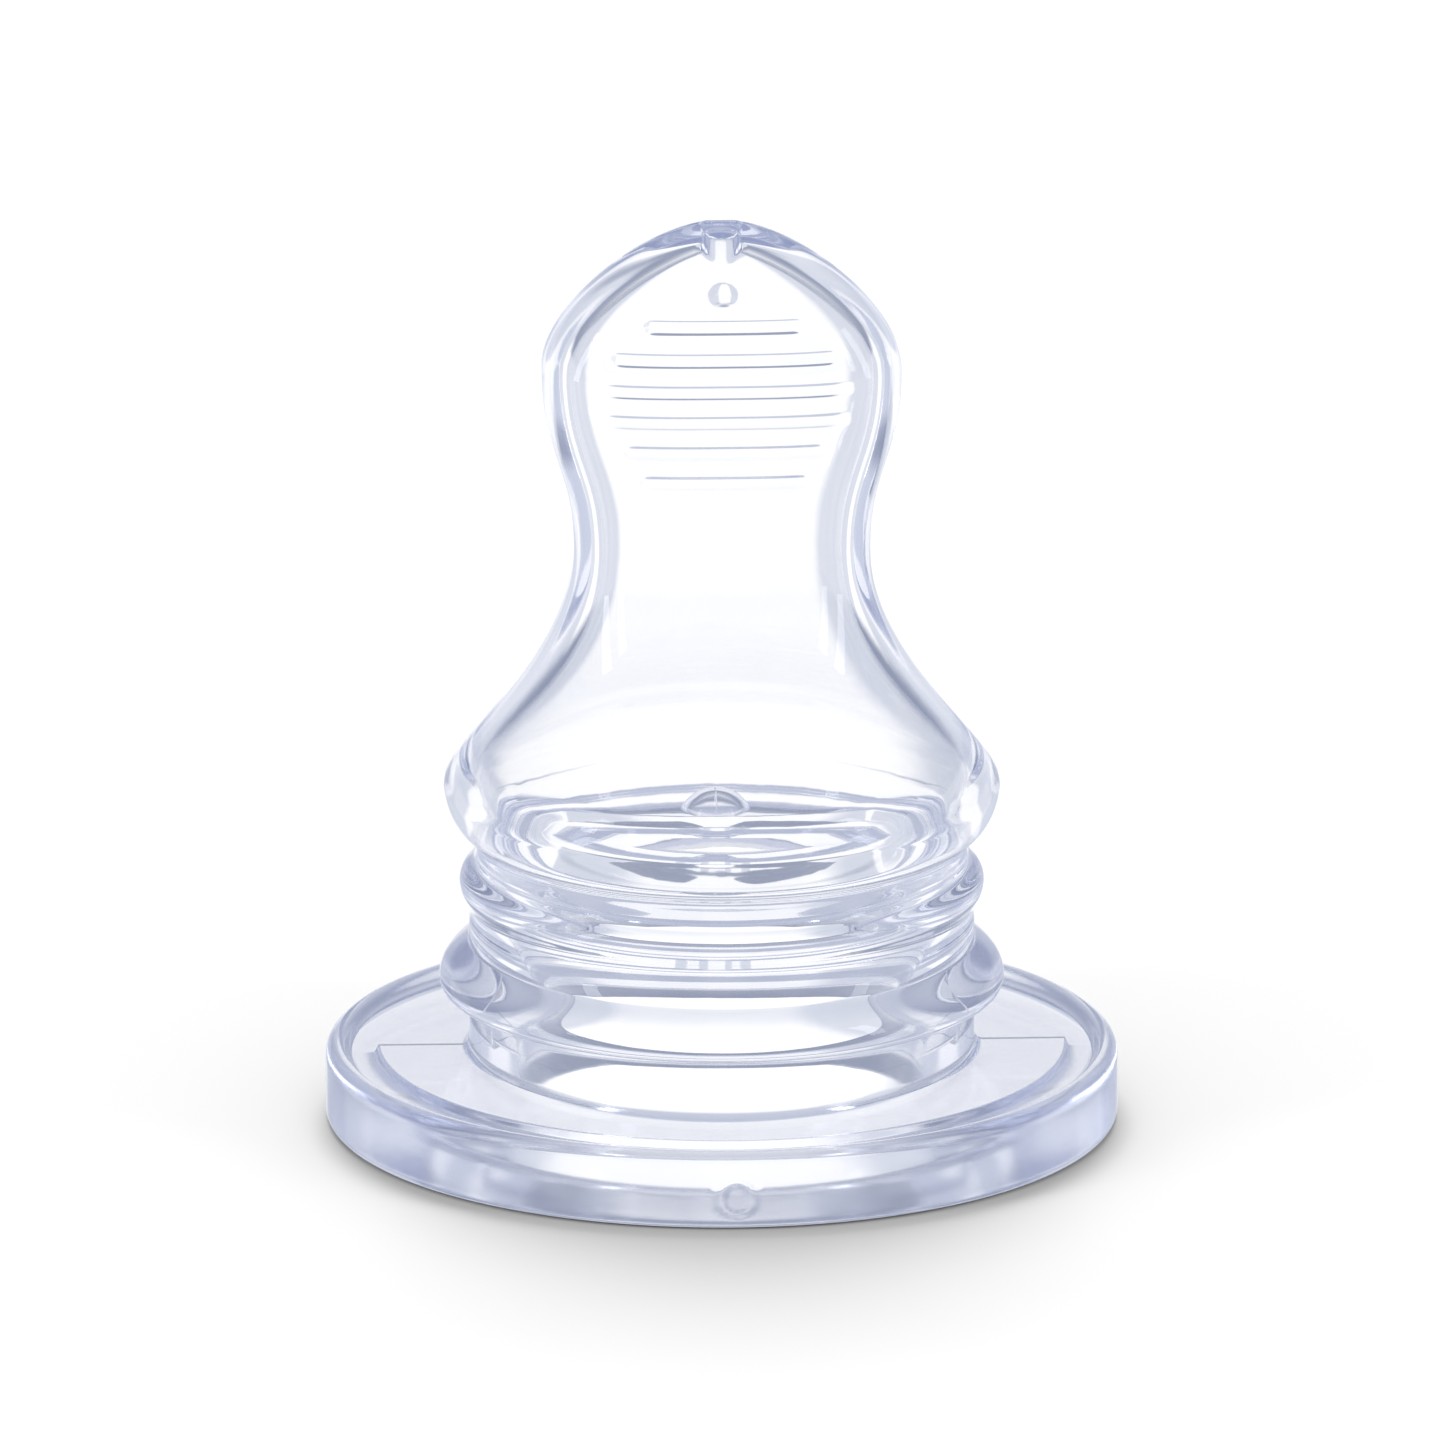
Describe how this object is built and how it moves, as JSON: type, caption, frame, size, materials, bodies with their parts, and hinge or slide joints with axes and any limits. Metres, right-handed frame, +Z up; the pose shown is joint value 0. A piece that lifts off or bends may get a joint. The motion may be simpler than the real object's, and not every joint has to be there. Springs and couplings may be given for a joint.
{
  "type": "bottle teat",
  "caption": "Clear silicone bottle teat with a flat flange, snap-in collar, domed vent valve and a flattened, ribbed orthodontic bulb that flexes at its waist.",
  "frame": {"origin": "centre of the flange's underside", "axes": "+Z up through the nipple; the ribbed front of the bulb faces -Y; +X is to the right seen from the front"},
  "size_m": [0.0376, 0.0376, 0.0435],
  "materials": {
    "silicone": "clear, smooth, slightly soft gloss"
  },
  "bodies": {
    "base": {"flange_disc": "silicone", "flange_rim": "silicone", "flange_land": "silicone", "neck_sleeve": "silicone", "retaining_bead": "silicone", "collar_ring": "silicone", "undercut_web": "silicone", "shoulder_bulge": "silicone", "skirt_cone": "silicone", "waist_band": "silicone", "vent_shelf": "silicone", "duct_boss": "silicone"},
    "nipple": {"bulb_shell": "silicone", "feed_tip": "silicone", "grip_rib_1": "silicone", "grip_rib_2": "silicone", "grip_rib_3": "silicone", "grip_rib_4": "silicone", "grip_rib_5": "silicone", "grip_rib_6": "silicone", "tip_nub": "silicone"},
    "vent_left": {"vent_lip_left": "silicone"},
    "vent_right": {"vent_lip_right": "silicone"}
  },
  "joints": [
    {"name": "nipple_flex", "type": "hinge", "parent": "base", "child": "nipple", "pos_m": [0, 0, 0.028], "axis": [1, 0, 0], "range_deg": [-25, 25], "stiffness_Nm_per_rad": 0.05, "deforming": ["waist_band"]},
    {"name": "vent_left_open", "type": "hinge", "parent": "base", "child": "vent_left", "pos_m": [-0.0017, 0.0081, 0.0123], "axis": [0, -1, 0], "range_deg": [0, 30], "stiffness_Nm_per_rad": 0.00001},
    {"name": "vent_right_open", "type": "hinge", "parent": "base", "child": "vent_right", "pos_m": [0.0017, 0.0081, 0.0123], "axis": [0, 1, 0], "range_deg": [0, 30], "stiffness_Nm_per_rad": 0.00001}
  ],
  "couplings": [
    {"joint": "vent_right_open", "follows": "vent_left_open", "ratio": 1}
  ]
}
